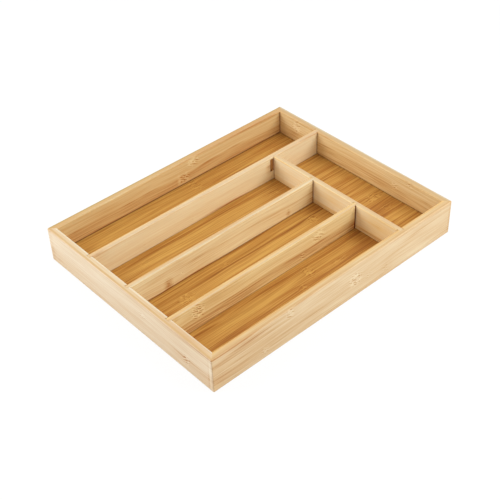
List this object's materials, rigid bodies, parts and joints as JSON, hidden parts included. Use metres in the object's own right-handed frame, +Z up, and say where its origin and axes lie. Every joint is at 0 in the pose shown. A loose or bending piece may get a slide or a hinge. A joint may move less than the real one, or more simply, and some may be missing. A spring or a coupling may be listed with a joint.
{
  "type": "cutlery tray",
  "caption": "Shallow open bamboo tray for a kitchen drawer, with mitred walls, a caramel floor panel, long compartments side by side and one compartment across the end.",
  "frame": {"origin": "middle of the tray's footprint, on the surface that it rests on", "axes": "+X along the long side towards the compartment that lies across the end, +Y across the tray towards the full-length compartment, +Z up out of the open top"},
  "size_m": [0.355, 0.28, 0.045],
  "materials": {
    "natural_bamboo": "sanded and clear lacquered, satin",
    "caramel_bamboo": "steamed darker brown, sanded and clear lacquered, satin"
  },
  "bodies": {
    "root": {"left_wall": "natural_bamboo", "right_wall": "natural_bamboo", "front_wall": "natural_bamboo", "rear_wall": "natural_bamboo", "floor_panel": "caramel_bamboo", "rear_divider": "natural_bamboo", "cross_divider": "natural_bamboo", "middle_divider": "natural_bamboo", "front_divider": "natural_bamboo"}
  },
  "joints": []
}
